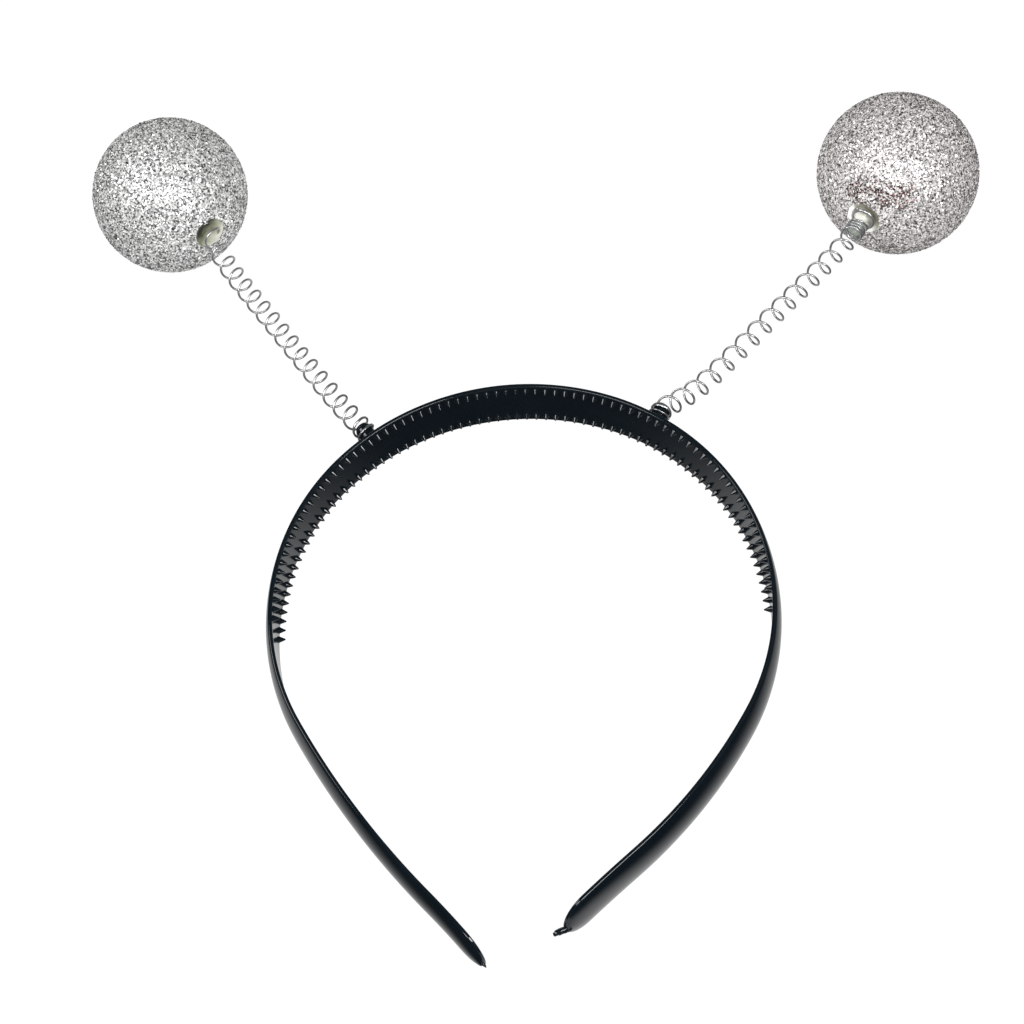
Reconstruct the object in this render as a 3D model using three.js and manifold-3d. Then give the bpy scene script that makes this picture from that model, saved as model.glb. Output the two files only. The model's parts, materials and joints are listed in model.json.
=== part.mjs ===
// A costume headband with two sprung antennae, lying on its back: millimetres, +Z up from the surface it lies on.
// It is drawn upright first, with X to the wearer's left and right, Y to the back and Z up from the crown's inner
// face, and the finished assembly is then laid on its two balls and one tip.
import * as THREE from "three";
import { mergeVertices } from "three/addons/utils/BufferGeometryUtils.js";
import Module from "manifold-3d";

// Band: one moulded strip, flat inside, crowned outside, with rounded tips
const BAND_WIDTH = 19.5;
const BAND_TIP_WIDTH = 17.8;
const BAND_EDGE_THICKNESS = 1;
const BAND_CROWN_THICKNESS = 2.4;
const BAND_HALF_LENGTH = 203.5;
const TAPER_START = 100;
const TIP_ROUND = 7.2;
const TIP_POINT = 0.48;
const TIP_FLAT = 2.4;
const TIP_THINNING = 0.35;
const BODY_STEPS = 47;
const TIP_STEPS = 5;
const WIDTH_STEPS = 4;

// Arcs of the inner face from the crown down each arm. The last one runs out the half length, and its negative
// radius bends the tip outwards.
const ARMS = {
  left: [
    { radius: 67, sweep: 38 },
    { radius: 61, sweep: 78 },
    { radius: 222, sweep: 14.3 },
    { radius: -240, sweep: 90 },
  ],
  right: [
    { radius: 67, sweep: 22 },
    { radius: 61, sweep: 100.5 },
    { radius: 138, sweep: 19.4 },
    { radius: -450, sweep: 90 },
  ],
};

// How far each arm is twisted past its shoulder, front edge inwards, and where the twist sets in and ends
const ARM_TWIST = { left: 0, right: 4.5 };
const TWIST_START = 50;
const TWIST_END = 140;

// Teeth: a row of small cones along each edge of the inner face, lowest at the crown
const TOOTH_RADIUS = 1.12;
const TOOTH_CROWN_HEIGHT = 1.55;
const TOOTH_SIDE_HEIGHT = 1.8;
const TOOTH_ROOT = 0.4;
const TOOTH_SIDES = 6;
const TOOTH_PITCH = 2.6;
const TOOTH_INSET = 2.4;
const TEETH_PER_ROW = 76;

// What is left of the moulding gate at each tip
const GATES = [
  { side: -1, root: 0.7, end: 0.35, length: 2.6 },
  { side: 1, root: 1, end: 0.6, length: 5 },
];
const GATE_SUNK = 1.2;
const GATE_SIDES = 5;

// Studs: the posts that the springs are pushed onto
const STUD_ALONG = 38;
const STUD_SIDES = 12;
const STUD_PROFILE = [
  { radius: 0, height: -1 },
  { radius: 3.2, height: -1 },
  { radius: 3.2, height: 0.7 },
  { radius: 2.7, height: 1.2 },
  { radius: 2, height: 1.4 },
  { radius: 2, height: 5.1 },
  { radius: 1.4, height: 5.9 },
  { radius: 0, height: 6.3 },
];
const COLLAR_TOP = 1.2;

// Springs: steel wire, straight up the stud with close turns, open turns between, and close turns in the ball
const WIRE_DIAMETER = 0.65;
const COIL_DIAMETER = 5.35;
const WIRE_SIDES = 6;
const STEPS_PER_TURN = 12;
const LENGTHS_PER_STEP = 4;
const CLOSE_PITCH = 1.4;
const STRAIGHT_TOP = 4.4;
const FIT_GAP = 0.3;

// Antennae: where each ball sits from its stud, its size, how far its spring droops, and the spring's turns on the
// stud, between and in the ball. Splay is from the crown's axis, and lean is to the back.
const ANTENNAE = [
  {
    name: "left",
    side: -1,
    splay: 29,
    lean: 19.5,
    reach: 128,
    ball: 46,
    droops: [1.2, 2.1, 2.2],
    turns: { stud: 2.75, open: 16.5, end: 1 },
  },
  {
    name: "right",
    side: 1,
    splay: 39.5,
    lean: 19.5,
    reach: 134,
    ball: 48,
    droops: [3.2, 2.9, 1.7],
    turns: { stud: 2.25, open: 16, end: 4.25 },
  },
];

// Where a spring droops, as shares of the way from stud to ball, and which way it does
const DROOP_SHARES = [0.15, 0.5, 0.9];
const DROOP_WAY = { aside: 0.45, back: 0.8, down: 0.35 };

// Balls: a blind hole for the spring, turned a little from the spring's own line, with a plug of glue
const HOLE_SPLAY = 35;
const HOLE_LEAN = 17;
const HOLE_RADIUS = 4;
const HOLE_DEPTH = 10;
const BALL_SIDES = 24;
const BALL_ROWS = 14;
const GLUE_DEPTH = 6.3;
const GLUE_CORE_TOP = 9;
const GLUE_CORE_RADIUS = 1.9;
const GLUE_BEVEL_RADIUS = 1.33;
const GLUE_BEVEL_TOP = 8.7;
const GLUE_BEVEL_FOOT = 8;
const GLUE_SIDES = 14;

// The band's lowest point on the surface, as a share of the way into the left tip's rounding
const REST_SHARE = 0.2;

const BLACK_PLASTIC = { color: 0x0a0a0b, roughness: 0.22, metalness: 0 };
const STEEL = { color: 0xc9c9cc, roughness: 0.2, metalness: 1 };
const GLITTER = { color: 0xb9b7b6, roughness: 0.4, metalness: 0.7 };
const GLUE = { color: 0xdcdcc4, roughness: 0.3, metalness: 0 };

const wasm = await Module();
wasm.setup();

const { degToRad, lerp, clamp, smoothstep } = THREE.MathUtils;
const UP = new THREE.Vector3(0, 1, 0);

// A closed geometry as a solid that can be joined
function solidOf(geometry) {
  const bare = geometry.clone();
  bare.deleteAttribute("normal");
  bare.deleteAttribute("uv");
  const merged = mergeVertices(bare, 1e-4);
  return new wasm.Manifold(
    new wasm.Mesh({
      numProp: 3,
      vertProperties: merged.getAttribute("position").array,
      triVerts: new Uint32Array(merged.index.array),
    }),
  );
}

// A joined solid as a geometry again
function geometryOf(solid) {
  const mesh = solid.getMesh();
  const geometry = new THREE.BufferGeometry();
  geometry.setAttribute("position", new THREE.BufferAttribute(mesh.vertProperties, 3));
  geometry.setIndex(new THREE.BufferAttribute(mesh.triVerts, 1));
  geometry.computeVertexNormals();
  return geometry;
}

// The inner face at a distance along the band from the crown, negative to the left: the middle of its width, the ways
// out of the loop and down the arm, and the way across to the back edge
function innerFaceAt(along) {
  const side = along < 0 ? -1 : 1;
  const arm = along < 0 ? "left" : "right";
  const place = new THREE.Vector3();
  let rest = Math.abs(along);
  let heading = 0;
  for (const arc of ARMS[arm]) {
    const turn = Math.sign(arc.radius) * Math.min(degToRad(arc.sweep), rest / Math.abs(arc.radius));
    place.x += side * arc.radius * (Math.sin(heading + turn) - Math.sin(heading));
    place.z += arc.radius * (Math.cos(heading + turn) - Math.cos(heading));
    heading += turn;
    rest -= turn * arc.radius;
  }
  const out = new THREE.Vector3(side * Math.sin(heading), 0, Math.cos(heading));
  const down = new THREE.Vector3(side * Math.cos(heading), 0, -Math.sin(heading));
  const twist = side * degToRad(ARM_TWIST[arm]) * smoothstep(Math.abs(along), TWIST_START, TWIST_END);
  out.applyAxisAngle(down, twist);
  const wide = UP.clone().applyAxisAngle(down, twist);
  return { place, out, down, wide };
}

// How far a point is into a tip's rounding, from 0 at its start to 1 at the very end
function intoTip(along) {
  return clamp((Math.abs(along) - BAND_HALF_LENGTH + TIP_ROUND) / TIP_ROUND, 0, 1);
}

function bandWidthAt(along) {
  const taper = clamp((Math.abs(along) - TAPER_START) / (BAND_HALF_LENGTH - TAPER_START), 0, 1);
  const full = lerp(BAND_WIDTH, BAND_TIP_WIDTH, taper);
  return Math.max(full * (1 - intoTip(along) ** 2) ** TIP_POINT, TIP_FLAT);
}

// A point of the band: across from -0.5 at the front edge to 0.5 at the back edge, on the inner or the outer face
function bandPoint(along, across, outside) {
  const { place, out, wide } = innerFaceAt(along);
  const crown = 1 - (2 * across) ** 2;
  const full = lerp(BAND_EDGE_THICKNESS, BAND_CROWN_THICKNESS, crown);
  const thickness = full * (1 - TIP_THINNING * intoTip(along) ** 2);
  place.addScaledVector(wide, across * bandWidthAt(along));
  return outside ? place.addScaledVector(out, thickness) : place;
}

// Distances along the band of its cross-sections, even along the body and closer round the tips
function bandStations() {
  const body = BAND_HALF_LENGTH - TIP_ROUND;
  const stations = [];
  for (let i = 0; i <= BODY_STEPS; i += 1) {
    stations.push(lerp(-body, body, i / BODY_STEPS));
  }
  for (let i = 1; i <= TIP_STEPS; i += 1) {
    const end = body + TIP_ROUND * Math.sin((i / TIP_STEPS) * (Math.PI / 2));
    stations.push(end);
    stations.unshift(-end);
  }
  return stations;
}

// The strip starts as a straight bar, whose corners are then carried to their places on the bent band
function stripGeometry() {
  const stations = bandStations();
  const steps = stations.length - 1;
  const strip = new THREE.BoxGeometry(steps, 1, 1, steps, WIDTH_STEPS, 1);
  const corners = strip.getAttribute("position");
  for (let i = 0; i < corners.count; i += 1) {
    const along = stations[Math.round(corners.getX(i) + steps / 2)];
    const point = bandPoint(along, corners.getY(i), corners.getZ(i) > 0);
    corners.setXYZ(i, point.x, point.y, point.z);
  }
  return strip;
}

// A shape drawn along +Y, turned to point along a direction and moved to a place
function planted(geometry, direction, place) {
  const turn = new THREE.Quaternion().setFromUnitVectors(UP, direction);
  const matrix = new THREE.Matrix4().compose(place, turn, new THREE.Vector3(1, 1, 1));
  return geometry.clone().applyMatrix4(matrix);
}

function latheOf(profile, sides) {
  const points = profile.map(({ radius, height }) => new THREE.Vector2(radius, height));
  return new THREE.LatheGeometry(points, sides);
}

function teeth() {
  const middle = (TEETH_PER_ROW - 1) / 2;
  const cones = [];
  for (let i = 0; i < TEETH_PER_ROW; i += 1) {
    const height = lerp(TOOTH_CROWN_HEIGHT, TOOTH_SIDE_HEIGHT, Math.abs(i - middle) / middle);
    const tooth = new THREE.ConeGeometry(TOOTH_RADIUS, height + TOOTH_ROOT, TOOTH_SIDES);
    tooth.translate(0, (height - TOOTH_ROOT) / 2, 0);
    for (const edge of [-1, 1]) {
      const { place, out, wide } = innerFaceAt((i - middle) * TOOTH_PITCH);
      place.addScaledVector(wide, edge * (BAND_WIDTH / 2 - TOOTH_INSET));
      cones.push(planted(tooth, out.negate(), place));
    }
  }
  return cones;
}

// The foot of a stud's axis on the outer face, and the way it points
function studAxis(side) {
  const { place, out } = innerFaceAt(side * STUD_ALONG);
  return { foot: place.addScaledVector(out, BAND_CROWN_THICKNESS), out };
}

function studs() {
  const stud = latheOf(STUD_PROFILE, STUD_SIDES);
  return ANTENNAE.map(({ side }) => {
    const { foot, out } = studAxis(side);
    return planted(stud, out, foot);
  });
}

// Short broken stubs that run on from the tips
function gateStubs() {
  return GATES.map(({ side, root, end, length }) => {
    const { down } = innerFaceAt(side * BAND_HALF_LENGTH);
    const stub = new THREE.CylinderGeometry(end, root, length, GATE_SIDES);
    const place = bandPoint(side * BAND_HALF_LENGTH, 0, false);
    place.add(bandPoint(side * BAND_HALF_LENGTH, 0, true)).multiplyScalar(0.5);
    return planted(stub, down, place.addScaledVector(down, length / 2 - GATE_SUNK));
  });
}

function headbandGeometry() {
  const pieces = [...teeth(), ...studs(), ...gateStubs()];
  return geometryOf(pieces.reduce((whole, piece) => whole.add(solidOf(piece)), solidOf(stripGeometry())));
}

// A direction up from the band, splayed to one side and leaning to the back
function leaning(side, splay, lean) {
  const flat = Math.cos(degToRad(lean));
  return new THREE.Vector3(
    side * flat * Math.sin(degToRad(splay)),
    Math.sin(degToRad(lean)),
    flat * Math.cos(degToRad(splay)),
  );
}

// Where an antenna's ball is, and the way into it along its hole
function ballPlace({ side, splay, lean, reach }) {
  const centre = studAxis(side).foot.addScaledVector(leaning(side, splay, lean), reach);
  return { centre, inward: leaning(side, HOLE_SPLAY, HOLE_LEAN) };
}

// The middle line of a spring: up the stud, drooping across to the ball, and into its hole
function springAxis(antenna) {
  const { foot, out } = studAxis(antenna.side);
  const { centre, inward } = ballPlace(antenna);
  const firstTurn = COLLAR_TOP + FIT_GAP + WIRE_DIAMETER / 2;
  const lastTurn = HOLE_DEPTH - GLUE_DEPTH - FIT_GAP - WIRE_DIAMETER / 2;
  const onStud = [0, 0.5, 1].map((share) =>
    foot.clone().addScaledVector(out, lerp(firstTurn, STRAIGHT_TOP, share)),
  );
  const mouth = centre.clone().addScaledVector(inward, -antenna.ball / 2);
  const end = mouth.clone().addScaledVector(inward, lastTurn);
  const way = new THREE.Vector3(antenna.side * DROOP_WAY.aside, DROOP_WAY.back, -DROOP_WAY.down);
  const drooping = DROOP_SHARES.map((share, i) =>
    onStud[2].clone().lerp(mouth, share).addScaledVector(way, antenna.droops[i]),
  );
  return new THREE.CatmullRomCurve3([...onStud, ...drooping, mouth, end]);
}

// The wire's middle line, wound round the spring's axis
class CoilCurve extends THREE.Curve {
  constructor(axis, turns) {
    super();
    this.axis = axis;
    this.length = axis.getLength();
    this.turns = turns;
    this.count = turns.stud + turns.open + turns.end;
    this.openPitch = (this.length - (turns.stud + turns.end) * CLOSE_PITCH) / turns.open;
    this.arcLengthDivisions = Math.ceil(this.count * STEPS_PER_TURN * LENGTHS_PER_STEP);
  }

  // Distance along the axis after a number of turns
  climb(turn) {
    const open = clamp(turn - this.turns.stud, 0, this.turns.open);
    return (turn - open) * CLOSE_PITCH + open * this.openPitch;
  }

  getPoint(t, target = new THREE.Vector3()) {
    const turn = t * this.count;
    const share = clamp(this.climb(turn) / this.length, 0, 1);
    const ahead = this.axis.getTangentAt(share);
    const across = new THREE.Vector3().crossVectors(UP, ahead).normalize();
    const back = new THREE.Vector3().crossVectors(ahead, across);
    const angle = turn * 2 * Math.PI;
    return target
      .copy(this.axis.getPointAt(share))
      .addScaledVector(across, (COIL_DIAMETER / 2) * Math.cos(angle))
      .addScaledVector(back, (COIL_DIAMETER / 2) * Math.sin(angle));
  }
}

function springGeometry(antenna) {
  const wire = new CoilCurve(springAxis(antenna), antenna.turns);
  const section = new THREE.Shape();
  section.absarc(0, 0, WIRE_DIAMETER / 2, 0, 2 * Math.PI);
  return new THREE.ExtrudeGeometry(section, {
    steps: Math.round(wire.count * STEPS_PER_TURN),
    curveSegments: WIRE_SIDES / 2,
    bevelEnabled: false,
    extrudePath: wire,
  });
}

// A ball round the origin with its hole opening downwards, so that the way in is +Y
function ballGeometry(radius) {
  const floor = HOLE_DEPTH - radius;
  const rim = Math.asin(HOLE_RADIUS / radius);
  const profile = [];
  for (let row = 0; row <= BALL_ROWS; row += 1) {
    const angle = lerp(rim, Math.PI, row / BALL_ROWS);
    profile.push({ radius: Math.max(0, radius * Math.sin(angle)), height: -radius * Math.cos(angle) });
  }
  profile[BALL_ROWS].radius = 0;
  const hole = [
    { radius: 0, height: floor },
    { radius: HOLE_RADIUS, height: floor },
  ];
  return latheOf([...hole, ...profile], BALL_SIDES);
}

// The glue at the bottom of the hole, with a core that stands up inside the spring's end turn
function glueGeometry(radius) {
  const floor = HOLE_DEPTH - radius;
  const bottom = floor - FIT_GAP;
  const face = floor - GLUE_DEPTH;
  const wall = HOLE_RADIUS - FIT_GAP;
  return latheOf(
    [
      { radius: 0, height: floor - GLUE_CORE_TOP },
      { radius: GLUE_BEVEL_RADIUS, height: floor - GLUE_BEVEL_TOP },
      { radius: GLUE_CORE_RADIUS, height: floor - GLUE_BEVEL_FOOT },
      { radius: GLUE_CORE_RADIUS, height: face },
      { radius: wall, height: face },
      { radius: wall, height: bottom },
      { radius: 0, height: bottom },
    ],
    GLUE_SIDES,
  );
}

function named(name, geometry, finish) {
  const mesh = new THREE.Mesh(geometry, new THREE.MeshStandardMaterial(finish));
  mesh.name = name;
  return mesh;
}

// One antenna: its spring, and its ball and glue turned to the hole's own line
function antennaGroup(antenna) {
  const { centre, inward } = ballPlace(antenna);
  const radius = antenna.ball / 2;
  const head = new THREE.Group();
  head.position.copy(centre);
  head.quaternion.setFromUnitVectors(UP, inward);
  head.add(named(`ball_${antenna.name}`, ballGeometry(radius), GLITTER));
  head.add(named(`glue_${antenna.name}`, glueGeometry(radius), GLUE));
  const group = new THREE.Group();
  group.add(named(`spring_${antenna.name}`, springGeometry(antenna), STEEL));
  group.add(head);
  return group;
}

// The way up, in the upright frame, when the assembly lies on both balls and the back edge of the left tip
function restingUp() {
  const tip = bandPoint(-(BAND_HALF_LENGTH - TIP_ROUND * (1 - REST_SHARE)), 0.5, false);
  const [a, b] = ANTENNAE.map((antenna) => ballPlace(antenna).centre.sub(tip));
  const [ra, rb] = ANTENNAE.map((antenna) => antenna.ball / 2);
  const det = a.dot(a) * b.dot(b) - a.dot(b) ** 2;
  const shareA = (ra * b.dot(b) - rb * a.dot(b)) / det;
  const shareB = (rb * a.dot(a) - ra * a.dot(b)) / det;
  const level = a.clone().multiplyScalar(shareA).addScaledVector(b, shareB);
  const steep = new THREE.Vector3().crossVectors(a, b).normalize();
  if (steep.y > 0) steep.negate();
  return level.addScaledVector(steep, Math.sqrt(1 - level.lengthSq()));
}

const assembly = new THREE.Group();
assembly.add(named("headband", headbandGeometry(), BLACK_PLASTIC));
ANTENNAE.forEach((antenna) => assembly.add(antennaGroup(antenna)));

// Laid down: the crown's direction becomes +Y along the surface
const up = restingUp();
const crownward = new THREE.Vector3(0, 0, 1).projectOnPlane(up).normalize();
const right = new THREE.Vector3().crossVectors(crownward, up);
const laid = new THREE.Matrix4().makeBasis(right, crownward, up).transpose();
assembly.quaternion.setFromRotationMatrix(laid);

const box = new THREE.Box3().setFromObject(assembly, true);
const middle = box.getCenter(new THREE.Vector3());
assembly.position.set(-middle.x, -middle.y, -box.min.z);

const root = new THREE.Group();
root.add(assembly);

export default root;
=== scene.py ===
"""Alien antenna headband: a toothed black band with two coil springs, each carrying a glitter ball."""

import json
import math

import bmesh
import bpy
import numpy as np
from mathutils import Matrix, Quaternion, Vector


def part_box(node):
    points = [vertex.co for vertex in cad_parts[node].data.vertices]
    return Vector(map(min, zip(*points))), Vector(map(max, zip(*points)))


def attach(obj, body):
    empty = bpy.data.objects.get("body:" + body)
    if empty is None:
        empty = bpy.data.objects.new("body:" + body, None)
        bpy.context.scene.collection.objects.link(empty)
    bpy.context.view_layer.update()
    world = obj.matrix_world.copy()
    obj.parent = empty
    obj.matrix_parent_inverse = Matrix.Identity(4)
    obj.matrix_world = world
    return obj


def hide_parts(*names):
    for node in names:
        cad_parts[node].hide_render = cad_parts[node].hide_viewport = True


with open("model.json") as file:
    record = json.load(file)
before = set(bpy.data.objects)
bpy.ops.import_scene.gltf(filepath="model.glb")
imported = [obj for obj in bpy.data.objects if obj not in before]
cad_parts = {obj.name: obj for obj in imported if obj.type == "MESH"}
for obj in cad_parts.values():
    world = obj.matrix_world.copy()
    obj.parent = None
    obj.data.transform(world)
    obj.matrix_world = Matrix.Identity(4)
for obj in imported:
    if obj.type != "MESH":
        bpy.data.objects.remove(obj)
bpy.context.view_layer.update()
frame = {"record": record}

# Band, in millimetres in its own space: X to the right, Y to the back, Z up from the crown's inner face
MM = 0.001
BAND_WIDTH = 19.5
BAND_TIP_WIDTH = 17.6
BAND_EDGE_THICKNESS = 1.0
BAND_CROWN_THICKNESS = 2.4
BAND_HALF_LENGTH = 203.5
TAPER_START = 100.0
TIP_ROUND = 7.2
TIP_POINT = 0.48
TIP_FLAT = 1.6
TIP_THINNING = 0.35
TIP_CROWDING = 0.12
TIP_CROWDING_POWER = 9
EDGE_ROUND = 0.34
EDGE_SEGMENTS = 4
ALONG_STEPS = 260
ACROSS_STEPS = 12
SEAT_SAG = 0.13

# Arcs of the inner face from the crown down each arm, as radius and sweep. The last one runs out the half length, and
# its negative radius bends the tip outwards.
ARMS = {
    -1: ((67.0, 38.0), (61.0, 78.0), (222.0, 14.3), (-240.0, 90.0)),
    1: ((67.0, 22.0), (61.0, 100.5), (138.0, 19.4), (-450.0, 90.0)),
}

# How far each arm is twisted past its shoulder, front edge inwards, and where the twist sets in and ends
ARM_TWIST = {-1: 0.0, 1: 4.5}
TWIST_START = 50.0
TWIST_END = 140.0

# Teeth along both edges of the inner face, lowest at the crown
TOOTH_RADIUS = 1.12
TOOTH_CROWN_HEIGHT = 1.15
TOOTH_SIDE_HEIGHT = 1.8
TOOTH_ROOT = 0.35
TOOTH_POINT = 0.16
TOOTH_SIDES = 14
TOOTH_PITCH = 2.6
TOOTH_INSET = 2.4
TEETH_PER_ROW = 76
TOOTH_SHARP_ANGLE = 40.0

# Torn stubs of the moulding gate at the tips: side, root radius, end radius, length and bend inwards
GATES = ((-1, 0.9, 0.12, 2.3, 0.0), (1, 1.0, 0.45, 4.6, 20.0))
GATE_SUNK = 1.2
GATE_SIDES = 10
GATE_CUTS = 5
GATE_SEED = 5

# How far a stub's corners are torn out of place, on a stub with this end radius
GATE_TEAR = 0.16
GATE_TEAR_AT = 0.45

# Studs that the springs sit on: radius and height of each corner, and how far the corners are rounded
STUD_ALONG = 38.0
STUD_PROFILE = ((0, -1), (3.2, -1), (3.2, 0.7), (2.7, 1.2), (2.3, 1.4), (2.3, 4.5), (1.7, 5.7), (0, 6.25))
STUD_ROUND = 0.16
STUD_SIDES = 40
COLLAR_TOP = 1.2

# Rounding of the studs and the glue, on edges sharper than an angle
ROUND_SEGMENTS = 3
ROUND_ANGLE = 25.0

# Springs: the wire, the coil, where it bends off the stud, how finely its middle line is cut and how far each way the
# line's direction is taken, the gap to the stud's collar, and the length of a last turn that is opened out
WIRE_DIAMETER = 0.65
WIRE_SIDES = 10
COIL_DIAMETER = 5.35
STEPS_PER_TURN = 32
STRAIGHT_TOP = 4.4
AXIS_STEPS = 60
AXIS_NEAR = 0.4
FIT_GAP = 0.3
FLARE_LENGTH = 1.6

# Balls and the holes that the springs are glued into
HOLE_SPLAY = 35.0
HOLE_LEAN = 17.0
HOLE_RADIUS = 4.0
HOLE_DEPTH = 10.0
HOLE_LIP = 0.4
BALL_SIDES = 96
BALL_ROWS = 60
COAT = 0.55

# Plugs of glue: the face's radius and rise at each corner from the middle out, and the gaps to the hole
GLUE_FACE = ((0.0, 0.0), (0.9, 0.05), (1.7, 0.1), (2.3, -0.2), (2.9, -0.2), (3.4, 0.1))
GLUE_SIDES = 48
GLUE_ROUND = 0.12
GLUE_WALL_GAP = 0.02
GLUE_END_GAP = 0.1
GLUE_LAP = 0.08
GLUE_EDGE = 0.1
GLUE_UNDERCUT = 0.8

# The sleeve of glue on the right spring: its ends from the end of the wire, and its rounded lower end
SLEEVE_ENDS = (6.5, 3.6)
SLEEVE_TAPER = ((0.0, -0.3), (0.9, -0.1), (1.7, 0.4))
SLEEVE_STEPS = (1.1, 1.9)
SLEEVE_RADIUS = 2.4
SLEEVE_CAP = 0.3
SLEEVE_SIDES = 18
SLEEVE_LUMPS = 0.13
SLEEVE_SEED = 7

# Glitter: hexagonal flakes lying on the coat, a little tilted
FLAKES = 33000
FLAKE_RADIUS = (0.18, 0.36)
FLAKE_LIFT = (0.02, 0.16)
FLAKE_TILT = 17.0
FLAKE_CORNERS = 6
FLAKE_TURN_SCATTER = 0.02
FLAKE_HEIGHT_SCATTER = 0.004
FLAKE_HOLE_GAP = 0.1

# Painted reflection of a dark, warm thing, shown as flakes beside the right hole tinted warm: the ways to them from
# the ball's middle, and how far round they reach
PAINTED_REFLECTION_WAYS = ((-0.6, -0.674, 0.43), (-0.35, -0.81, 0.47), (-0.107, -0.867, 0.49))
PAINTED_REFLECTION_REACH = 12.0


class Antenna:
    """One spring with its ball.

    place: the ball's splay and lean from the stud, and how far it is. ball: its diameter.
    droops, rises: how far the spring is moved each way at the droop shares.
    turns: turns and pitch on the stud, and the turns between. ends: turns and pitches at the ball.
    last: how deep in the hole the wire ends, and how far its last turn is opened out.
    hole: how wide the coat is open, how deep the glue lies and how far it dips to one side.
    tint, painted_reflection, seed: the glitter's colour, its share of flakes tinted warm as a painted reflection, and
    its random seed.
    """

    def __init__(self, name, side, place, ball, droops, rises, turns, ends, last, hole, tint, painted_reflection, seed):
        self.name = name
        self.side = side
        self.splay, self.lean, self.reach = place
        self.radius = ball / 2
        self.droops = droops
        self.rises = rises
        self.stud_turns, self.stud_pitch, self.open_turns = turns
        self.ends = ends
        self.end_depth, self.end_flare = last
        self.opening, self.glue_depth, self.glue_dip = hole
        self.tint = tint
        self.painted_reflection = painted_reflection
        self.seed = seed


LEFT = Antenna(
    "left", -1, place=(29.0, 19.5, 128.0), ball=46.0, droops=(1.2, 2.1, 2.2), rises=(0.0, 0.0, 0.0),
    turns=(1.75, 2.2, 16.5), ends=((1.0, 1.4),), last=(3.07, 0.0),
    hole=(4.6, 1.25, 0.9), tint=(0.93, 0.935, 0.92), painted_reflection=0.0, seed=11,
)
RIGHT = Antenna(
    "right", 1, place=(39.5, 19.5, 134.0), ball=48.0, droops=(3.2, 2.9, 1.7), rises=(1.0, 0.25, 0.0),
    turns=(2.25, 1.4, 15.48), ends=((3.0, 1.05), (0.8, 4.2), (1.1, 0.6)), last=(0.9, 0.28),
    hole=(5.0, 1.3, 0.5), tint=(0.95, 0.915, 0.905), painted_reflection=0.6, seed=23,
)
ANTENNAE = (LEFT, RIGHT)

# Where a spring droops, as shares of the way from stud to ball, which way it does (aside, back and down), and which
# way it rises
DROOP_SHARES = (0.15, 0.5, 0.9)
DROOP_WAY = (0.45, 0.8, -0.35)
RISE_WAY = (0.0, 0.8, 0.5)


# Places in the band's own space


def inner_face_at(along):
    """The inner face so far from the crown, negative to the left: its place and its ways out, down and across."""
    side = -1 if along < 0 else 1
    x = z = heading = 0.0
    rest = abs(along)
    for radius, sweep in ARMS[side]:
        turn = math.copysign(min(math.radians(sweep), rest / abs(radius)), radius)
        x += side * radius * (math.sin(heading + turn) - math.sin(heading))
        z += radius * (math.cos(heading + turn) - math.cos(heading))
        heading += turn
        rest -= turn * radius
    out = Vector((side * math.sin(heading), 0, math.cos(heading)))
    down = Vector((side * math.cos(heading), 0, -math.sin(heading)))
    share = clamped((abs(along) - TWIST_START) / (TWIST_END - TWIST_START))
    twist = math.radians(side * ARM_TWIST[side]) * share * share * (3 - 2 * share)
    turn = Matrix.Rotation(twist, 3, down)
    return Vector((x, 0, z)), turn @ out, down, turn @ Vector((0, 1, 0))


def clamped(value):
    return min(max(value, 0.0), 1.0)


def mixed(a, b, share):
    return a + (b - a) * share


def into_tip(along):
    return clamped((abs(along) - BAND_HALF_LENGTH + TIP_ROUND) / TIP_ROUND)


def band_width_at(along):
    taper = clamped((abs(along) - TAPER_START) / (BAND_HALF_LENGTH - TAPER_START))
    full = mixed(BAND_WIDTH, BAND_TIP_WIDTH, taper)
    return max(full * (1 - into_tip(along) ** 2) ** TIP_POINT, TIP_FLAT)


def band_point(along, across, depth):
    """A point of the band: across from -0.5 at the front edge to 0.5, depth from 0 inside to 1 outside."""
    place, out, _, wide = inner_face_at(along)
    thickness = mixed(BAND_EDGE_THICKNESS, BAND_CROWN_THICKNESS, 1 - (2 * across) ** 2)
    thickness *= 1 - TIP_THINNING * into_tip(along) ** 2
    return place + wide * across * band_width_at(along) + out * thickness * depth


def stud_axis(side):
    place, out, _, _ = inner_face_at(side * STUD_ALONG)
    return place + out * BAND_CROWN_THICKNESS, out


def leaning(side, splay, lean):
    flat = math.cos(math.radians(lean))
    return Vector((
        side * flat * math.sin(math.radians(splay)),
        math.sin(math.radians(lean)),
        flat * math.cos(math.radians(splay)),
    ))


def ball_centre(antenna):
    foot, _ = stud_axis(antenna.side)
    return foot + leaning(antenna.side, antenna.splay, antenna.lean) * antenna.reach


def hole_inward(antenna):
    return leaning(antenna.side, HOLE_SPLAY, HOLE_LEAN)


def aimed(place, direction):
    """A matrix that turns +Z to a direction and moves the origin to a place."""
    turn = Vector((0, 0, 1)).rotation_difference(direction)
    return Matrix.Translation(place) @ turn.to_matrix().to_4x4()


def square_basis(up, aside):
    aside = (aside - up * aside.dot(up)).normalized()
    return Matrix((aside, up.cross(aside), up)).transposed()


def box_middle(node):
    low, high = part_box(node)
    return (Vector(low) + Vector(high)) / 2


def laid_down():
    """The band's own space, in millimetres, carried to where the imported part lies, in metres."""
    seat = frame["record"]["mounts"][0]
    up = -Vector(seat["axis"]).normalized()
    apart = box_middle("ball_right") - box_middle("ball_left")
    own_apart = ball_centre(RIGHT) - ball_centre(LEFT)
    turn = square_basis(up, apart) @ square_basis(Vector((0, 0, 1)), own_apart).transposed()
    place = Vector(seat["pos_m"]) + up * SEAT_SAG * MM
    return Matrix.Translation(place) @ turn.to_4x4() @ Matrix.Scale(MM, 4)


LAID = laid_down()


# Making pieces


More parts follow.
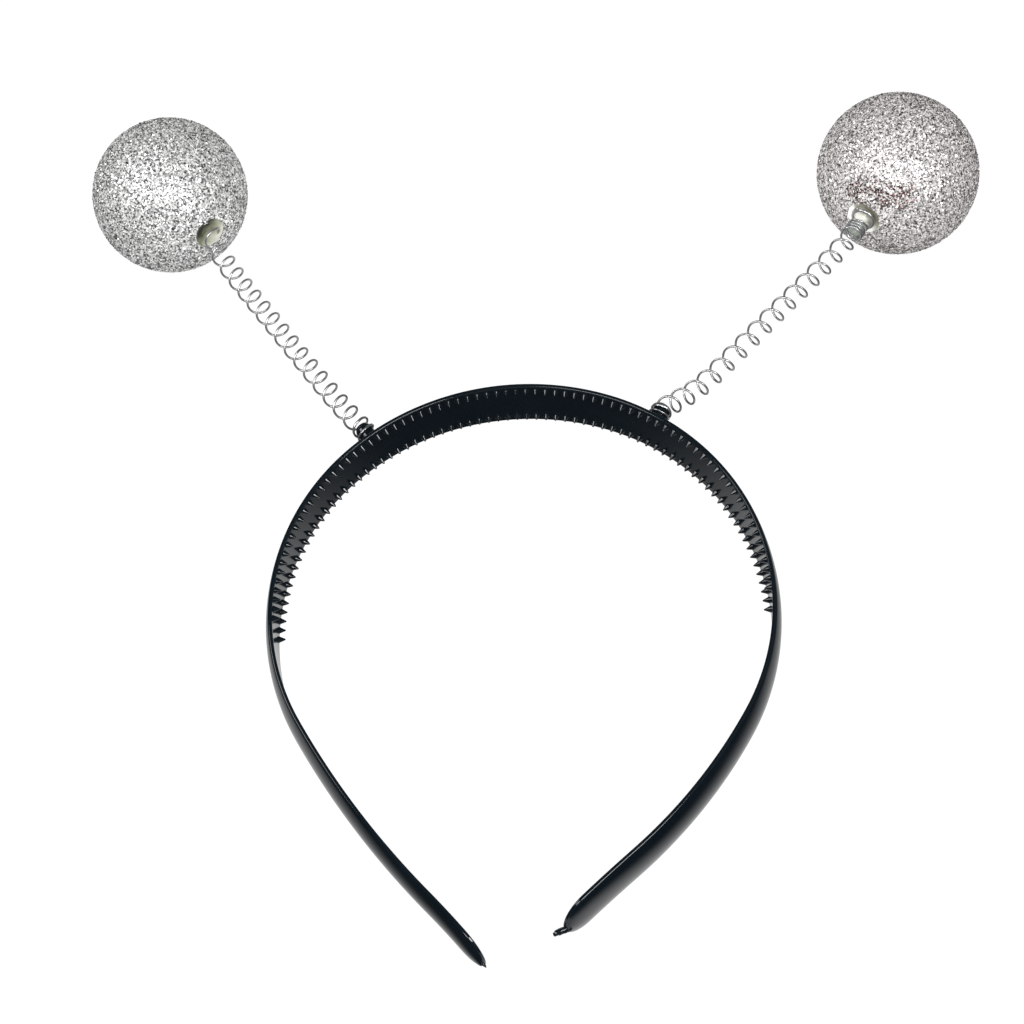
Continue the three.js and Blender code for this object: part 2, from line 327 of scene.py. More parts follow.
def finished(bm, name, material, node):
    """A bmesh in the band's own space becomes a piece of the object, in its place."""
    bmesh.ops.transform(bm, matrix=LAID, verts=bm.verts)
    for face in bm.faces:
        face.smooth = True
    mesh = bpy.data.meshes.new(name)
    bm.to_mesh(mesh)
    bm.free()
    return placed(mesh, name, material, node)


def placed(mesh, name, material, node):
    piece = bpy.data.objects.new(name, mesh)
    bpy.context.collection.objects.link(piece)
    mesh.materials.append(material)
    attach(piece, "root")
    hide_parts(node)
    return piece


def lathed(profile, sides):
    """A closed turned shape round Z from its outline, which starts and ends on the axis."""
    bm = bmesh.new()
    corners = [bm.verts.new((radius, 0, height)) for radius, height in profile]
    outline = [bm.edges.new(pair) for pair in zip(corners, corners[1:])]
    turned(bm, corners + outline, sides)
    return bm


def turned(bm, geom, sides):
    bmesh.ops.spin(
        bm, geom=geom, cent=(0, 0, 0), axis=(0, 0, 1), angle=2 * math.pi, steps=sides, use_merge=True
    )
    bmesh.ops.remove_doubles(bm, verts=bm.verts, dist=1e-4)
    bmesh.ops.recalc_face_normals(bm, faces=bm.faces)


def rounded(bm, offset):
    """Bevels every sharp edge."""
    sharp = [e for e in bm.edges if e.is_manifold and e.calc_face_angle() > math.radians(ROUND_ANGLE)]
    bmesh.ops.bevel(
        bm, geom=sharp, offset=offset, offset_type="OFFSET", affect="EDGES",
        segments=ROUND_SEGMENTS, profile=0.5, material=-1, clamp_overlap=True,
    )


def joined(target, source):
    """Adds one bmesh's shape to another."""
    mesh = bpy.data.meshes.new("joint")
    source.to_mesh(mesh)
    source.free()
    target.from_mesh(mesh)
    bpy.data.meshes.remove(mesh)


# Headband


def edges_along(bm, axis):
    return [e for e in bm.edges if abs((e.verts[1].co - e.verts[0].co).normalized()[axis]) > 0.99]


def station(share):
    """Where along the band a step falls: even along the body and closer together towards the tips."""
    reach = abs(share)
    return math.copysign(BAND_HALF_LENGTH * (reach + TIP_CROWDING * (reach - reach**TIP_CROWDING_POWER)), share)


def strip():
    """A straight bar with rounded edges, cut into steps and bent to the band's arcs."""
    bar = bmesh.new()
    bmesh.ops.create_cube(bar, size=1)
    bmesh.ops.scale(bar, vec=(2, BAND_WIDTH, BAND_EDGE_THICKNESS), verts=bar.verts)
    bmesh.ops.translate(bar, vec=(0, 0, BAND_EDGE_THICKNESS / 2), verts=bar.verts)
    bmesh.ops.subdivide_edges(bar, edges=edges_along(bar, 1), cuts=ACROSS_STEPS - 1, use_grid_fill=True)
    corners = [e for e in edges_along(bar, 0) if abs(e.verts[0].co.y) > BAND_WIDTH / 2 - 0.01]
    bmesh.ops.bevel(
        bar, geom=corners, offset=EDGE_ROUND, offset_type="OFFSET", affect="EDGES",
        segments=EDGE_SEGMENTS, profile=0.5, material=-1,
    )
    bmesh.ops.subdivide_edges(bar, edges=edges_along(bar, 0), cuts=ALONG_STEPS - 1, use_grid_fill=True)
    for corner in bar.verts:
        share, across, depth = corner.co
        corner.co = band_point(station(share), across / BAND_WIDTH, depth / BAND_EDGE_THICKNESS)
    bmesh.ops.recalc_face_normals(bar, faces=bar.faces)
    return bar


def stud(side):
    foot, out = stud_axis(side)
    post = lathed(STUD_PROFILE, STUD_SIDES)
    rounded(post, STUD_ROUND)
    bmesh.ops.transform(post, matrix=aimed(foot, out), verts=post.verts)
    return post


def gate_stub(side, root, end, length, bend):
    _, out, down, _ = inner_face_at(side * BAND_HALF_LENGTH)
    foot = band_point(side * BAND_HALF_LENGTH, 0, 0.5)
    way = down * math.cos(math.radians(bend)) - out * math.sin(math.radians(bend))
    stub = bmesh.new()
    bmesh.ops.create_cone(stub, cap_ends=True, segments=GATE_SIDES, radius1=root, radius2=end, depth=length)
    bmesh.ops.subdivide_edges(stub, edges=[e for e in stub.edges if e.calc_length() > length / 2], cuts=GATE_CUTS)
    rng = np.random.default_rng(GATE_SEED)
    for corner in stub.verts:
        corner.co += Vector(rng.normal(0, GATE_TEAR, 3)) * end / GATE_TEAR_AT
    bmesh.ops.transform(stub, matrix=aimed(foot + way * (length / 2 - GATE_SUNK), way), verts=stub.verts)
    return stub


def headband(material):
    band = strip()
    for antenna in ANTENNAE:
        joined(band, stud(antenna.side))
    for gate in GATES:
        joined(band, gate_stub(*gate))
    return finished(band, "headband_strip", material, "headband")


def teeth(material):
    rows = bmesh.new()
    half = (TEETH_PER_ROW - 1) / 2
    for step in range(TEETH_PER_ROW):
        place, out, _, wide = inner_face_at((step - half) * TOOTH_PITCH)
        height = mixed(TOOTH_CROWN_HEIGHT, TOOTH_SIDE_HEIGHT, abs(step - half) / half)
        for edge in (-1, 1):
            foot = place + wide * edge * (BAND_WIDTH / 2 - TOOTH_INSET)
            middle = foot - out * (height - TOOTH_ROOT) / 2
            bmesh.ops.create_cone(
                rows, cap_ends=True, segments=TOOTH_SIDES, radius1=TOOTH_RADIUS, radius2=TOOTH_POINT,
                depth=height + TOOTH_ROOT, matrix=aimed(middle, -out),
            )
    for edge in rows.edges:
        edge.smooth = edge.calc_face_angle() < math.radians(TOOTH_SHARP_ANGLE)
    return finished(rows, "headband_teeth", material, "headband")


# Springs


def smooth_line(points):
    """A centripetal Catmull-Rom curve through points, as many short steps."""
    points = [2 * points[0] - points[1], *points, 2 * points[-1] - points[-2]]
    line = []
    for a, b, c, d in zip(points, points[1:], points[2:], points[3:]):
        before, here, after = (math.sqrt((q - p).length) for p, q in ((a, b), (b, c), (c, d)))
        leave = ((b - a) / before - (c - a) / (before + here) + (c - b) / here) * here
        arrive = ((c - b) / here - (d - b) / (here + after) + (d - c) / after) * here
        for step in range(AXIS_STEPS):
            t = step / AXIS_STEPS
            bend = (3 * (c - b) - 2 * leave - arrive) * t**2 + (2 * (b - c) + leave + arrive) * t**3
            line.append(b + leave * t + bend)
    return [*line, points[-2]]


class SpringAxis:
    """The middle line of a spring: up the stud, drooping across to the ball, and into its hole."""

    def __init__(self, antenna):
        foot, out = stud_axis(antenna.side)
        inward = hole_inward(antenna)
        first_turn = COLLAR_TOP + FIT_GAP + WIRE_DIAMETER / 2
        on_stud = [foot + out * mixed(first_turn, STRAIGHT_TOP, share) for share in (0, 0.5, 1)]
        mouth = ball_centre(antenna) - inward * antenna.radius
        aside, back, down = DROOP_WAY
        droop_way = Vector((antenna.side * aside, back, down))
        rise_way = Vector(RISE_WAY)
        drooping = [
            on_stud[2].lerp(mouth, share) + droop_way * far + rise_way * rise
            for share, far, rise in zip(DROOP_SHARES, antenna.droops, antenna.rises)
        ]
        end = mouth + inward * antenna.end_depth
        self.points = np.array(smooth_line([*on_stud, *drooping, mouth, end]))
        steps = np.linalg.norm(np.diff(self.points, axis=0), axis=1)
        self.marks = np.concatenate(([0.0], np.cumsum(steps)))
        self.length = self.marks[-1]

    def at(self, climb):
        return Vector([np.interp(climb, self.marks, self.points[:, i]) for i in range(3)])

    def carried(self, point):
        """A point of a straight spring round Z, carried to the bent one."""
        low = min(max(point.z, AXIS_NEAR), self.length - AXIS_NEAR)
        ahead = (self.at(low + AXIS_NEAR) - self.at(low - AXIS_NEAR)).normalized()
        across = Vector((0, 1, 0)).cross(ahead).normalized()
        within = min(max(point.z, 0.0), self.length)
        middle = self.at(within) + ahead * (point.z - within)
        return middle + across * point.x + ahead.cross(across) * point.y


def spring(antenna, material):
    axis = SpringAxis(antenna)
    close = antenna.stud_turns * antenna.stud_pitch + sum(turns * pitch for turns, pitch in antenna.ends)
    open_pitch = (axis.length - close) / antenna.open_turns
    slope = math.atan2(open_pitch, math.pi * COIL_DIAMETER)
    wire = bmesh.new()
    section = Matrix.Translation((COIL_DIAMETER / 2, 0, 0)) @ Matrix.Rotation(math.pi / 2 + slope, 4, "X")
    bmesh.ops.create_circle(wire, cap_ends=True, segments=WIRE_SIDES, radius=WIRE_DIAMETER / 2, matrix=section)
    tip = list(wire.faces) + list(wire.edges) + list(wire.verts)
    on_stud = (antenna.stud_turns, antenna.stud_pitch)
    for turns, pitch in (on_stud, (antenna.open_turns, open_pitch), *antenna.ends):
        steps = round(turns * STEPS_PER_TURN)
        climb = turns * pitch / steps
        wound = bmesh.ops.spin(
            wire, geom=tip, cent=(0, 0, 0), axis=(0, 0, 1), dvec=(0, 0, climb),
            angle=2 * math.pi * turns, steps=steps,
        )
        tip = wound["geom_last"]
    bmesh.ops.recalc_face_normals(wire, faces=wire.faces)
    for corner in wire.verts:
        flare = 1 + antenna.end_flare * clamped((corner.co.z - axis.length) / FLARE_LENGTH + 1)
        corner.co = axis.carried(Vector((corner.co.x * flare, corner.co.y * flare, corner.co.z)))
    name = f"spring_{antenna.name}"
    return finished(wire, f"{name}_wire", material, name)


# Balls


def ball(antenna, material):
    """A turned ball whose hole opens downwards, then aimed so that the way in is its hole's own line."""
    radius = antenna.radius - COAT
    rim = math.asin(antenna.opening / radius)
    bm = bmesh.new()
    first = bm.verts.new((radius * math.sin(rim), 0, -radius * math.cos(rim)))
    bmesh.ops.spin(bm, geom=[first], cent=(0, 0, 0), axis=(0, -1, 0), angle=math.pi - rim, steps=BALL_ROWS)
    floor = HOLE_DEPTH - antenna.radius
    lip = bm.verts.new((HOLE_RADIUS, 0, -radius * math.cos(rim) + HOLE_LIP))
    wall = bm.verts.new((HOLE_RADIUS, 0, floor))
    middle = bm.verts.new((0, 0, floor))
    for pair in ((first, lip), (lip, wall), (wall, middle)):
        bm.edges.new(pair)
    turned(bm, list(bm.verts) + list(bm.edges), BALL_SIDES)
    bmesh.ops.transform(bm, matrix=aimed(ball_centre(antenna), hole_inward(antenna)), verts=bm.verts)
    name = f"ball_{antenna.name}"
    return finished(bm, f"{name}_core", material, name)


def glitter(antenna, material):
    """Thousands of flat hexagons on the ball, made from arrays as one mesh, each with its own tone."""
    rng = np.random.default_rng(antenna.seed)
    count = FLAKES
    turn = np.arange(count) * math.pi * (3 - math.sqrt(5)) + rng.normal(0, FLAKE_TURN_SCATTER, count)
    height = 1 - 2 * (np.arange(count) + 0.5) / count + rng.normal(0, FLAKE_HEIGHT_SCATTER, count)
    height = np.clip(height, -1, 1)
    ring = np.sqrt(1 - height**2)
    normal = np.stack((ring * np.cos(turn), ring * np.sin(turn), height), axis=1)
    rim = math.cos(math.asin((antenna.opening + FLAKE_HOLE_GAP) / antenna.radius))
    normal = normal[normal[:, 2] > -rim]
    count = len(normal)
    lift = rng.uniform(*FLAKE_LIFT, count) + antenna.radius - COAT
    middle = normal * lift[:, None]
    facing = normal + rng.normal(0, math.tan(math.radians(FLAKE_TILT)), (count, 3))
    facing /= np.linalg.norm(facing, axis=1, keepdims=True)
    across = np.cross(facing, rng.normal(0, 1, (count, 3)))
    across /= np.linalg.norm(across, axis=1, keepdims=True)
    along = np.cross(facing, across)
    size = rng.uniform(*FLAKE_RADIUS, count)
    angles = np.arange(FLAKE_CORNERS) * 2 * math.pi / FLAKE_CORNERS
    corners = (
        middle[:, None, :]
        + size[:, None, None] * np.cos(angles)[None, :, None] * across[:, None, :]
        + size[:, None, None] * np.sin(angles)[None, :, None] * along[:, None, :]
    ).reshape(-1, 3)
    to_frame = np.array(LAID @ aimed(ball_centre(antenna), hole_inward(antenna)))
    corners = corners @ to_frame[:3, :3].T + to_frame[:3, 3]
    name = f"ball_{antenna.name}"
    mesh = bpy.data.meshes.new(f"{name}_glitter")
    mesh.vertices.add(len(corners))
    mesh.vertices.foreach_set("co", corners.ravel())
    mesh.loops.add(len(corners))
    mesh.loops.foreach_set("vertex_index", np.arange(len(corners)))
    mesh.polygons.add(count)
    mesh.polygons.foreach_set("loop_start", np.arange(count) * FLAKE_CORNERS)
    # Flakes near these ways are picked at random for the painted reflection
    edge = math.cos(math.radians(PAINTED_REFLECTION_REACH))
    near = (normal @ to_frame[:3, :3].T / MM @ np.array(PAINTED_REFLECTION_WAYS).T).max(axis=1)
    near = np.clip((near - edge) / (1 - edge), 0, 1)
    values = {
        "flake_tone": rng.uniform(0, 1, count),
        "flake_painted_reflection": (rng.uniform(0, 1, count) < antenna.painted_reflection * near).astype(float),
    }
    for attribute, amounts in values.items():
        layer = mesh.attributes.new(attribute, "FLOAT", "FACE")
        layer.data.foreach_set("value", amounts)
    mesh.update(calc_edges=True)
    mesh.validate()
    return placed(mesh, f"{name}_glitter", material, name)


def glue(antenna, material):
    """The plug in a ball's hole: ridged over the wire's end, up to the rim all round, and dipping to one side."""
    radius = antenna.radius - COAT
    bottom = HOLE_DEPTH - antenna.radius - GLUE_END_GAP
    face = antenna.glue_depth - antenna.radius
    rim = -math.sqrt(radius**2 - antenna.opening**2)
    wall = HOLE_RADIUS - GLUE_WALL_GAP
    plug = lathed(
        (
            *((across, face + rise) for across, rise in GLUE_FACE),
            (wall - GLUE_EDGE, mixed(face, rim, 0.5)),
            (antenna.opening, rim - GLUE_LAP), (antenna.opening - GLUE_EDGE, rim + GLUE_EDGE),
            (wall, rim + GLUE_UNDERCUT), (wall, bottom), (0, bottom),
        ),
        GLUE_SIDES,
    )
    rounded(plug, GLUE_ROUND)
    matrix = aimed(ball_centre(antenna), hole_inward(antenna))
    way = matrix.to_3x3().transposed() @ Vector((antenna.side, 0, 1)).normalized()
    way.z = 0
    way.normalize()
    # Share towards the deep side, which the glue's colour darkens as painted shade
    sunk_shade = plug.verts.layers.float.new("sunk_shade")
    for corner in plug.verts:
        share = corner.co.dot(way) / wall
        corner[sunk_shade] = 0.5 + 0.5 * share
        if corner.co.z < rim + 1 and corner.co.xy.length < wall - 0.2:
            corner.co.z += antenna.glue_dip * share
    bmesh.ops.transform(plug, matrix=matrix, verts=plug.verts)
    name = f"glue_{antenna.name}"
    return finished(plug, f"{name}_plug", material, name)


def glue_sleeve(antenna, material):
    """Glue that has run out of the hole into the close turns of a spring."""
    axis = SpringAxis(antenna)
    low, high = (axis.length - far for far in SLEEVE_ENDS)
    sleeve = lathed(
        (
            *((across, low + rise) for across, rise in SLEEVE_TAPER),
            *((SLEEVE_RADIUS, low + rise) for rise in SLEEVE_STEPS),
            (SLEEVE_RADIUS, high), (0, high + SLEEVE_CAP),
        ),
        SLEEVE_SIDES,
    )
    rng = np.random.default_rng(SLEEVE_SEED)
    for corner in sleeve.verts:
        corner.co = axis.carried(corner.co + Vector(rng.normal(0, SLEEVE_LUMPS, 3)))
    bmesh.ops.subdivide_edges(sleeve, edges=sleeve.edges, cuts=2, smooth=1.0, use_grid_fill=True)
    name = f"glue_{antenna.name}"
    return finished(sleeve, f"{name}_sleeve", material, name)


# Materials: tones as stops of place and colour, or of place and share of the tint

PLASTIC_TONES = ((0.3, (0.002, 0.0045, 0.007)), (0.75, (0.0035, 0.0065, 0.0095)))
PLASTIC_ROUGHNESS = (0.05, 0.12)
STEEL_TONES = ((0.3, (0.37, 0.37, 0.38)), (0.7, (0.62, 0.62, 0.63)))
STEEL_ROUGHNESS = (0.24, 0.34)
COAT_TONES = ((0.0, 0.03), (0.3, 0.22), (0.6, 0.55), (0.85, 0.95))
FLAKE_TONES = ((0.0, 0.02), (0.16, 0.14), (0.4, 0.66), (0.62, 1.0), (1.0, 1.0))
# Painted reflection: the warm dark tint multiplied into the picked flakes
PAINTED_REFLECTION_COLOUR = (0.16, 0.07, 0.06, 1)
# Glue colours from the high side to the deep side, darkening there as painted shade of the hole's wall
DULL_GLUE_SHADED_TONES = (
    (0.0, (0.6, 0.6, 0.52)), (0.3, (0.33, 0.34, 0.26)), (0.58, (0.18, 0.19, 0.125)), (0.8, (0.03, 0.034, 0.02)),
)
WHITE_GLUE_SHADED_TONES = (
    (0.0, (0.97, 0.97, 0.93)), (0.42, (0.9, 0.9, 0.84)), (0.6, (0.35, 0.34, 0.28)), (0.85, (0.15, 0.145, 0.11)),
)
DIRTY_GLUE_TONES = ((0.0, (0.26, 0.28, 0.25)), (0.15, (0.5, 0.52, 0.48)))


def add(tree, kind, inputs=None, **settings):
    """A node with its settings, and its sockets given values or links."""
    node = tree.nodes.new(kind)
    for name, value in settings.items():
        setattr(node, name, value)
    for name, value in (inputs or {}).items():
        if isinstance(value, bpy.types.NodeSocket):
            tree.links.new(value, node.inputs[name])
        else:
            node.inputs[name].default_value = value
    return node


def new_material(name):
    material = bpy.data.materials.new(name)
    material.use_nodes = True
    tree = material.node_tree
    tree.nodes.clear()
    shader = add(tree, "ShaderNodeBsdfPrincipled")
    output = add(tree, "ShaderNodeOutputMaterial", {"Surface": shader.outputs["BSDF"]})
    output.is_active_output = True
    return material, tree, shader


def worked(tree, operation, *values):
    return add(tree, "ShaderNodeMath", dict(enumerate(values)), operation=operation).outputs["Value"]


def between(tree, value, low, high):
    """A value from 0 to 1, spread between two others."""
    return add(tree, "ShaderNodeMapRange", {"Value": value, "To Min": low, "To Max": high}).outputs["Result"]


def ramp(tree, value, stops):
    node = add(tree, "ShaderNodeValToRGB", {"Fac": value})
    elements = node.color_ramp.elements
    while len(elements) < len(stops):
        elements.new(0.5)
    for element, (position, colour) in zip(elements, stops):
        element.position = position
        element.color = (*colour, 1)
    return node.outputs["Color"]


def grain_group():
    """Smudges and fine marks on handled, smooth surfaces."""
    group = bpy.data.node_groups.new("handling_marks", "ShaderNodeTree")
    group.interface.new_socket("Scale", in_out="INPUT", socket_type="NodeSocketFloat")
    group.interface.new_socket("Smudge", in_out="OUTPUT", socket_type="NodeSocketFloat")
    group.interface.new_socket("Grain", in_out="OUTPUT", socket_type="NodeSocketFloat")
    entry = add(group, "NodeGroupInput")
    place = add(group, "ShaderNodeTexCoord")
    scaled = add(group, "ShaderNodeVectorMath", {0: place.outputs["Object"]}, operation="SCALE")
    group.links.new(entry.outputs["Scale"], scaled.inputs["Scale"])
    smudge = add(group, "ShaderNodeTexNoise", {"Vector": scaled.outputs["Vector"], "Scale": 0.06, "Detail": 4.0})
    grain = add(group, "ShaderNodeTexNoise", {"Vector": scaled.outputs["Vector"], "Scale": 1.6, "Detail": 3.0})
    leave = add(group, "NodeGroupOutput")
    group.links.new(smudge.outputs["Fac"], leave.inputs["Smudge"])
    group.links.new(grain.outputs["Fac"], leave.inputs["Grain"])
    return group


def use_group(tree, group, **inputs):
    node = add(tree, "ShaderNodeGroup")
    node.node_tree = group
    for name, value in inputs.items():
        node.inputs[name].default_value = value
    return node.outputs


def black_plastic(marks):
    material, tree, shader = new_material("black_plastic")
    out = use_group(tree, marks, Scale=1000.0)
    colour = ramp(tree, out["Smudge"], PLASTIC_TONES)
    rough = between(tree, out["Smudge"], *PLASTIC_ROUGHNESS)
    bump = add(tree, "ShaderNodeBump", {"Height": out["Grain"], "Strength": 0.05, "Distance": 0.0002})
    tree.links.new(colour, shader.inputs["Base Color"])
    tree.links.new(rough, shader.inputs["Roughness"])
    tree.links.new(bump.outputs["Normal"], shader.inputs["Normal"])
    return material


def spring_steel(marks):
    material, tree, shader = new_material("spring_steel")
    out = use_group(tree, marks, Scale=2500.0)
    colour = ramp(tree, out["Grain"], STEEL_TONES)
    rough = between(tree, out["Smudge"], *STEEL_ROUGHNESS)
    tree.links.new(colour, shader.inputs["Base Color"])
    tree.links.new(rough, shader.inputs["Roughness"])
    shader.inputs["Metallic"].default_value = 0.92
    return material


def tinted(tint, stops):
    return [(at, tuple(channel * value for channel in tint)) for at, value in stops]


def glitter_coat(antenna):
    """The glittered ground under the loose flakes: small cells of silver, each turned its own way."""
    material, tree, shader = new_material(f"glitter_coat_{antenna.name}")
    place = add(tree, "ShaderNodeTexCoord")
    cells = add(tree, "ShaderNodeTexVoronoi", {"Vector": place.outputs["Object"], "Scale": 2600.0})
    tone = add(tree, "ShaderNodeSeparateColor", {"Color": cells.outputs["Color"]})
    colour = ramp(tree, tone.outputs["Red"], tinted(antenna.tint, COAT_TONES))
    tree.links.new(colour, shader.inputs["Base Color"])
    shader.inputs["Metallic"].default_value = 0.35
    shader.inputs["Roughness"].default_value = 0.4
    return material


def glitter_flakes(antenna):
    material, tree, shader = new_material(f"glitter_flakes_{antenna.name}")
    tone = add(tree, "ShaderNodeAttribute", attribute_name="flake_tone").outputs["Fac"]
    colour = ramp(tree, tone, tinted(antenna.tint, FLAKE_TONES))
    # Painted reflection: the picked flakes are darkened warm
    painted_reflection = add(tree, "ShaderNodeAttribute", attribute_name="flake_painted_reflection").outputs["Fac"]
    with_painted_reflection = add(tree, "ShaderNodeMixRGB", {"Fac": painted_reflection, "Color1": colour, "Color2": PAINTED_REFLECTION_COLOUR})
    with_painted_reflection.blend_type = "MULTIPLY"
    tree.links.new(with_painted_reflection.outputs["Color"], shader.inputs["Base Color"])
    shader.inputs["Metallic"].default_value = 0.42
    shader.inputs["Roughness"].default_value = 0.3
    return material


def hot_glue(name, marks, stops):
    """Glue whose colour runs from its high side to its deep side, where it is darkened as painted shade of the hole's
    wall.
    """
    material, tree, shader = new_material(name)
    out = use_group(tree, marks, Scale=6000.0)
    sunk_shade = add(tree, "ShaderNodeAttribute", attribute_name="sunk_shade").outputs["Fac"]
    # Smudges plus the painted shade towards the deep side
    smudge_and_shade = worked(tree, "MULTIPLY_ADD", worked(tree, "SUBTRACT", out["Smudge"], 0.5), 0.6, sunk_shade)
    bump = add(tree, "ShaderNodeBump", {"Height": out["Smudge"], "Strength": 0.4, "Distance": 0.0005})
    tree.links.new(ramp(tree, smudge_and_shade, stops), shader.inputs["Base Color"])
    tree.links.new(bump.outputs["Normal"], shader.inputs["Normal"])
    shader.inputs["Roughness"].default_value = 0.15
    shader.inputs["Coat Weight"].default_value = 0.4
    return material


# Camera, light and floor

VIEW_AZIMUTH = 1.9
VIEW_ELEVATION = 52.07
VIEW_ROLL = -1.84
VIEW_DISTANCE = 780.0
VIEW_AIM = (-13.79, -4.5, 16.37)
VIEW_LENS = 101.31

# Soft lights: name, place, target, width and height, and watts
LIGHTS = (
    ("key_left", (-0.42, -0.8, 0.95), (-0.05, 0, 0.02), (0.6, 0.5), 7.2),
    ("key_right", (0.5, -0.8, 0.95), (0.05, 0, 0.02), (0.6, 0.5), 10.0),
    ("fill", (-0.9, -0.1, 0.8), (0, 0.02, 0.02), (0.6, 0.6), 5.0),
)
WHITE = (1, 1, 1, 1)
SOFT_STRENGTH = 0.72

# The floor: half its width, its colour, and how much of it glows, and how strongly
FLOOR_HALF = 6
FLOOR_COLOUR = (0.93, 0.93, 0.93, 1)
FLOOR_ROUGHNESS = 0.9
FLOOR_GLOW_SHARE = 0.9
FLOOR_GLOW = 1.02

# Painted reflection: what glossy surfaces see on the floor, pale within the loop, which narrows to the tips, dark
# outside, and painted shade by the crown. Narrow and wide are places along Y and half widths there.
LOOP_MIDDLE = -0.013
LOOP_NARROW = (-0.15, 0.004)
LOOP_WIDE = (-0.06, 0.066)
PALE_WITHIN = 0.95
DARK_BEYOND = 1.8
SHADE_MIDDLE = (-0.013, 0.005, 0.0)
SHADE_STRETCH = (1 / 0.04, 1 / 0.045, 0.0)
SHADE_FULL = 0.35
SHADE_NONE = 1.9
MIRRORED_DARK = 0.02
MIRRORED_PALE = 0.64

# What they see of the room: dark, and a little paler to the front and the right
ROOM_LIT_FROM = (0.8, -0.6, 0.0)
ROOM_SPAN = (-0.6, 0.7)
ROOM_DARK = 0.015
ROOM_PALE = 0.14


def camera():
    data = bpy.data.cameras.new("camera")
    data.lens = VIEW_LENS
    data.sensor_width = 36.0
    data.clip_start = 0.01
    eye = bpy.data.objects.new("camera", data)
    bpy.context.collection.objects.link(eye)
    azimuth = math.radians(VIEW_AZIMUTH)
    elevation = math.radians(VIEW_ELEVATION)
    look = Vector((
        math.sin(azimuth) * math.cos(elevation),
        math.cos(azimuth) * math.cos(elevation),
        -math.sin(elevation),
    ))
    eye.location = (Vector(VIEW_AIM) - look * VIEW_DISTANCE) * MM
    level = look.to_track_quat("-Z", "Y")
    eye.rotation_euler = (level @ Quaternion((0, 0, 1), math.radians(VIEW_ROLL))).to_euler()
    bpy.context.scene.camera = eye


def soft_light(name, place, target, size, watts):
    data = bpy.data.lights.new(name, "AREA")
    data.shape = "ELLIPSE"
    data.size, data.size_y = size
    data.energy = watts
    lamp = bpy.data.objects.new(name, data)
    bpy.context.collection.objects.link(lamp)
    lamp.location = place
    lamp.rotation_euler = (Vector(target) - Vector(place)).to_track_quat("-Z", "Y").to_euler()


def surroundings():
    world = bpy.data.worlds.new("studio")
    bpy.context.scene.world = world
    world.use_nodes = True
    tree = world.node_tree
    tree.nodes.clear()
    path = add(tree, "ShaderNodeLightPath")
    soft = add(tree, "ShaderNodeBackground", {"Color": WHITE, "Strength": SOFT_STRENGTH})
    way = add(tree, "ShaderNodeTexCoord").outputs["Generated"]
    toward = add(tree, "ShaderNodeVectorMath", {0: way, 1: ROOM_LIT_FROM}, operation="DOT_PRODUCT")
    least, most = ROOM_SPAN
    room = add(tree, "ShaderNodeMapRange", {
        "Value": toward.outputs["Value"], "From Min": least, "From Max": most,
        "To Min": ROOM_DARK, "To Max": ROOM_PALE,
    })
    dim = add(tree, "ShaderNodeBackground", {"Color": WHITE, "Strength": room.outputs["Result"]})
    mix = add(tree, "ShaderNodeMixShader", {
        0: path.outputs["Is Glossy Ray"], 1: soft.outputs["Background"], 2: dim.outputs["Background"],
    })
    add(tree, "ShaderNodeOutputWorld", {"Surface": mix.outputs["Shader"]})


def fading(tree, value, none, full):
    """A smooth rise from 0 to 1 between two values."""
    node = add(tree, "ShaderNodeMapRange", {"Value": value, "From Min": none, "From Max": full})
    node.interpolation_type = "SMOOTHSTEP"
    return node.outputs["Result"]


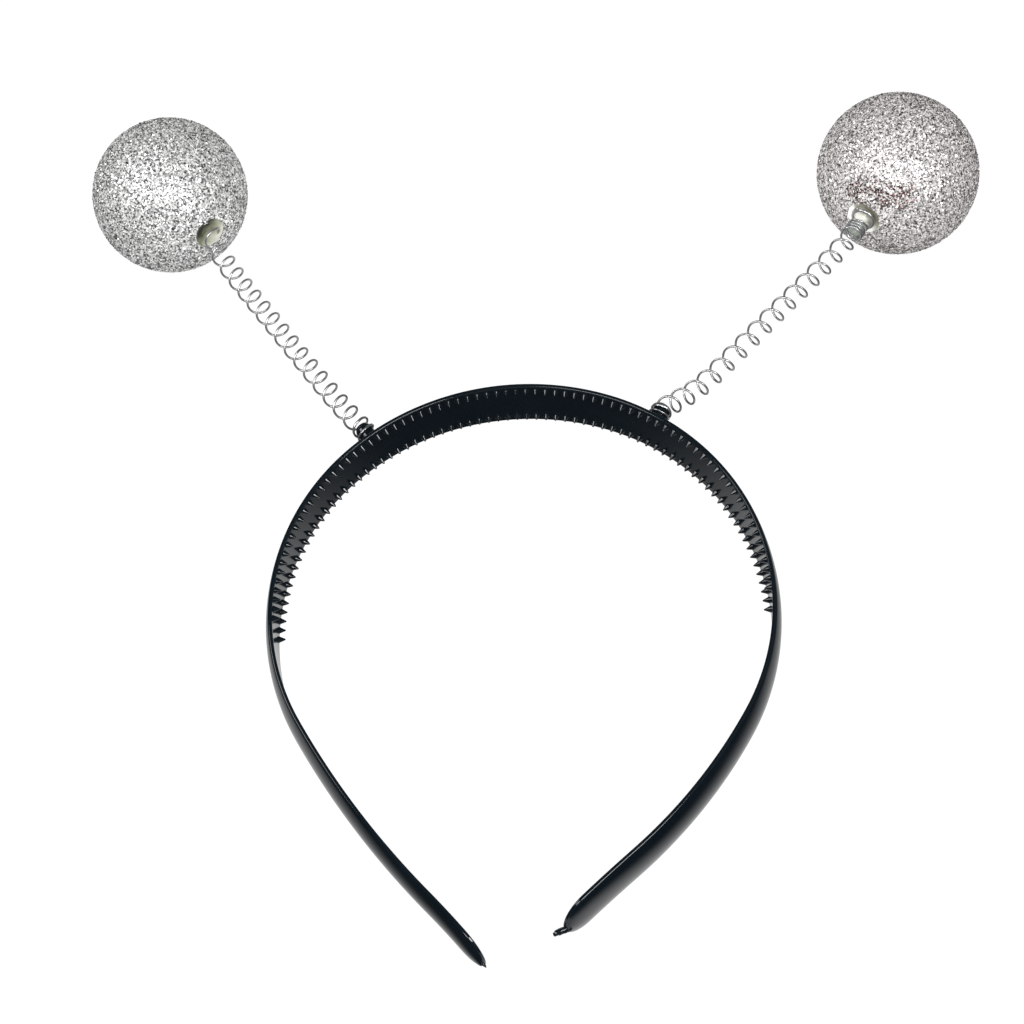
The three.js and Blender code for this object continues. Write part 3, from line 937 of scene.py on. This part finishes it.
def pale_floor():
    """A lit white floor that glossy surfaces see as a painted reflection, pale inside the loop and dark elsewhere."""
    material, tree, shader = new_material("pale_floor")
    shader.inputs["Base Color"].default_value = FLOOR_COLOUR
    shader.inputs["Roughness"].default_value = FLOOR_ROUGHNESS
    shader.inputs["Specular IOR Level"].default_value = 0.0
    glow = add(tree, "ShaderNodeEmission", {"Color": WHITE, "Strength": FLOOR_GLOW})
    lit = add(tree, "ShaderNodeMixShader", {
        0: FLOOR_GLOW_SHARE, 1: shader.outputs["BSDF"], 2: glow.outputs["Emission"],
    })
    place = add(tree, "ShaderNodeTexCoord").outputs["Object"]
    apart = add(tree, "ShaderNodeSeparateXYZ", {"Vector": place}).outputs
    (low, narrow), (high, wide) = LOOP_NARROW, LOOP_WIDE
    reach = add(tree, "ShaderNodeMapRange", {
        "Value": apart["Y"], "From Min": low, "From Max": high, "To Min": narrow, "To Max": wide,
    }).outputs["Result"]
    aside = worked(tree, "SUBTRACT", apart["X"], LOOP_MIDDLE)
    share = worked(tree, "DIVIDE", worked(tree, "ABSOLUTE", aside), reach)
    shade = add(tree, "ShaderNodeVectorMath", {0: place, 1: SHADE_MIDDLE}, operation="SUBTRACT").outputs["Vector"]
    shade = add(tree, "ShaderNodeVectorMath", {0: shade, 1: SHADE_STRETCH}, operation="MULTIPLY").outputs["Vector"]
    shade = add(tree, "ShaderNodeVectorMath", {0: shade}, operation="LENGTH").outputs["Value"]
    inside = fading(tree, share, DARK_BEYOND, PALE_WITHIN)
    both = worked(tree, "MULTIPLY", inside, fading(tree, shade, SHADE_FULL, SHADE_NONE))
    paling = between(tree, both, MIRRORED_DARK, MIRRORED_PALE)
    mirrored = add(tree, "ShaderNodeEmission", {"Color": WHITE, "Strength": paling})
    path = add(tree, "ShaderNodeLightPath")
    mix = add(tree, "ShaderNodeMixShader", {
        0: path.outputs["Is Glossy Ray"], 1: lit.outputs["Shader"], 2: mirrored.outputs["Emission"],
    })
    output = next(node for node in tree.nodes if node.type == "OUTPUT_MATERIAL")
    tree.links.new(mix.outputs["Shader"], output.inputs["Surface"])
    return material


def floor():
    bm = bmesh.new()
    bmesh.ops.create_grid(bm, x_segments=1, y_segments=1, size=FLOOR_HALF)
    mesh = bpy.data.meshes.new("floor")
    bm.to_mesh(mesh)
    bm.free()
    plane = bpy.data.objects.new("floor", mesh)
    bpy.context.collection.objects.link(plane)
    mesh.materials.append(pale_floor())


def studio():
    camera()
    surroundings()
    floor()
    for light in LIGHTS:
        soft_light(*light)
    bpy.context.scene.view_settings.view_transform = "Standard"


def build():
    marks = grain_group()
    plastic = black_plastic(marks)
    steel = spring_steel(marks)
    glues = {
        "left": hot_glue("dull_glue", marks, DULL_GLUE_SHADED_TONES),
        "right": hot_glue("white_glue", marks, WHITE_GLUE_SHADED_TONES),
    }
    dirty_glue = hot_glue("dirty_glue", marks, DIRTY_GLUE_TONES)
    headband(plastic)
    teeth(plastic)
    for antenna in ANTENNAE:
        spring(antenna, steel)
        ball(antenna, glitter_coat(antenna))
        glitter(antenna, glitter_flakes(antenna))
        glue(antenna, glues[antenna.name])
    glue_sleeve(RIGHT, dirty_glue)


build()
studio()
